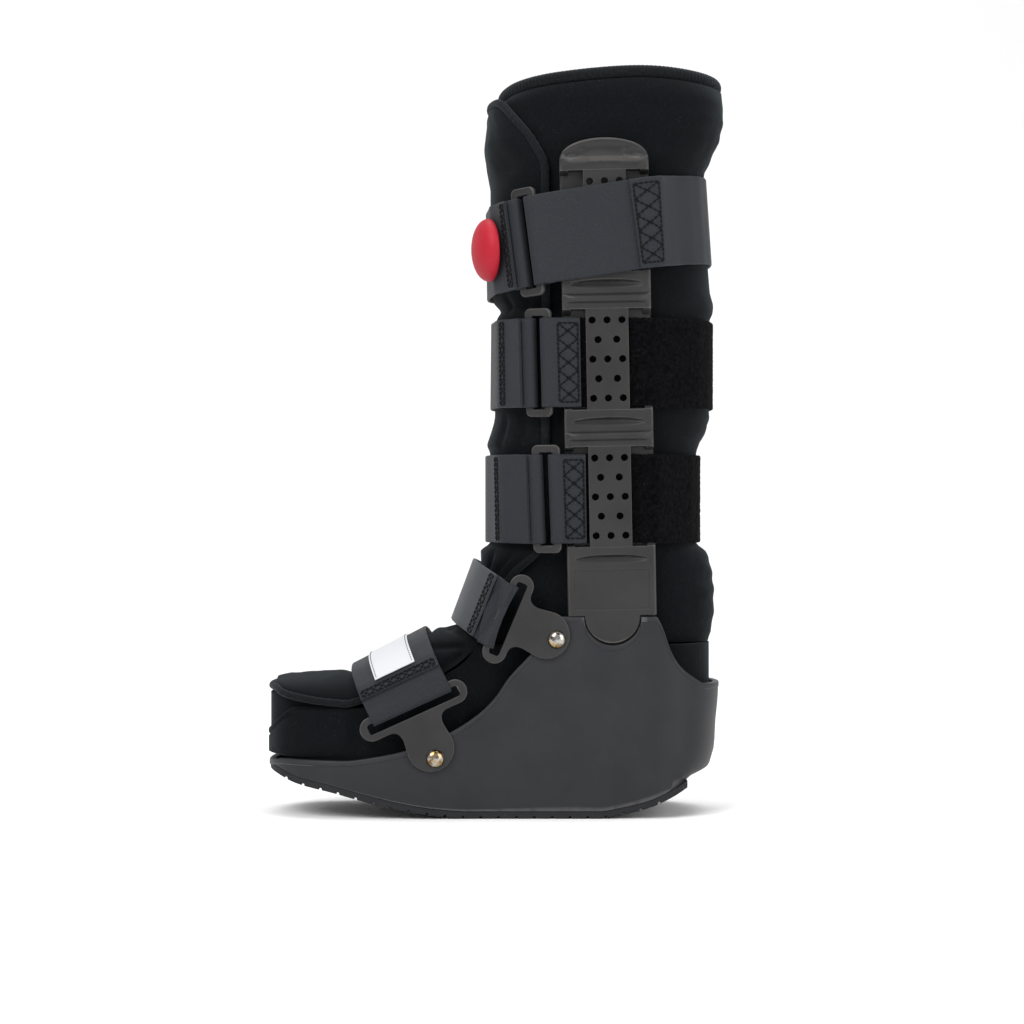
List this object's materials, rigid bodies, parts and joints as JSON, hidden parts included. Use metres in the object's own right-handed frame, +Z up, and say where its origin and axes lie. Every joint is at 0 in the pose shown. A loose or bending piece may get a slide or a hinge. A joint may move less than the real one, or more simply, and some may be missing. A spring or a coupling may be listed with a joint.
{
  "type": "medical walking boot",
  "caption": "Tall walking boot with a rocker shell, side struts, padded open-toe liner with a front flap, strap rings, slotted strap plates and an air pump bulb.",
  "frame": {"origin": "on the floor under the middle of the boot's box", "axes": "+Z up the leg, +X from toe to heel, -Y towards the side with the rings"},
  "size_m": [0.2656, 0.1436, 0.431],
  "materials": {
    "shell": "fine moulded grain",
    "strut": "satin moulded",
    "rubber": "matt, cross grooves",
    "liner": "padded knit",
    "binding": "ribbed stretch tape",
    "webbing": "woven, stitched",
    "loop": "fuzzy loop pile",
    "pump": "smooth satin",
    "rivet": "polished",
    "label": "blank satin"
  },
  "bodies": {
    "root": {"shell": "shell", "outsole": "rubber", "strut_near": "strut", "strut_far": "strut", "liner_leg": "liner", "liner_foot": "liner", "leg_flap": "liner", "foot_flap": "liner", "rim_binding": "binding", "leg_flap_binding": "binding", "foot_flap_binding": "binding", "top_strap_back": "webbing", "top_strap_tab": "webbing", "top_strap_loop": "webbing", "top_strap_front": "webbing", "top_strap_ring": "strut", "middle_strap_back": "loop", "middle_strap_tab": "webbing", "middle_strap_loop": "webbing", "middle_strap_front": "webbing", "middle_strap_ring": "strut", "low_strap_back": "loop", "low_strap_tab": "webbing", "low_strap_loop": "webbing", "low_strap_front": "webbing", "low_strap_ring": "strut", "pump_bulb": "pump", "toe_strap_band": "webbing", "toe_plate_near": "strut", "toe_loop_near": "webbing", "toe_rivet_near": "rivet", "toe_plate_far": "strut", "toe_loop_far": "webbing", "toe_rivet_far": "rivet", "ankle_strap_band": "webbing", "ankle_plate_near": "strut", "ankle_loop_near": "webbing", "ankle_rivet_near": "rivet", "ankle_plate_far": "strut", "ankle_loop_far": "webbing", "ankle_rivet_far": "rivet", "toe_label": "label"}
  },
  "joints": []
}
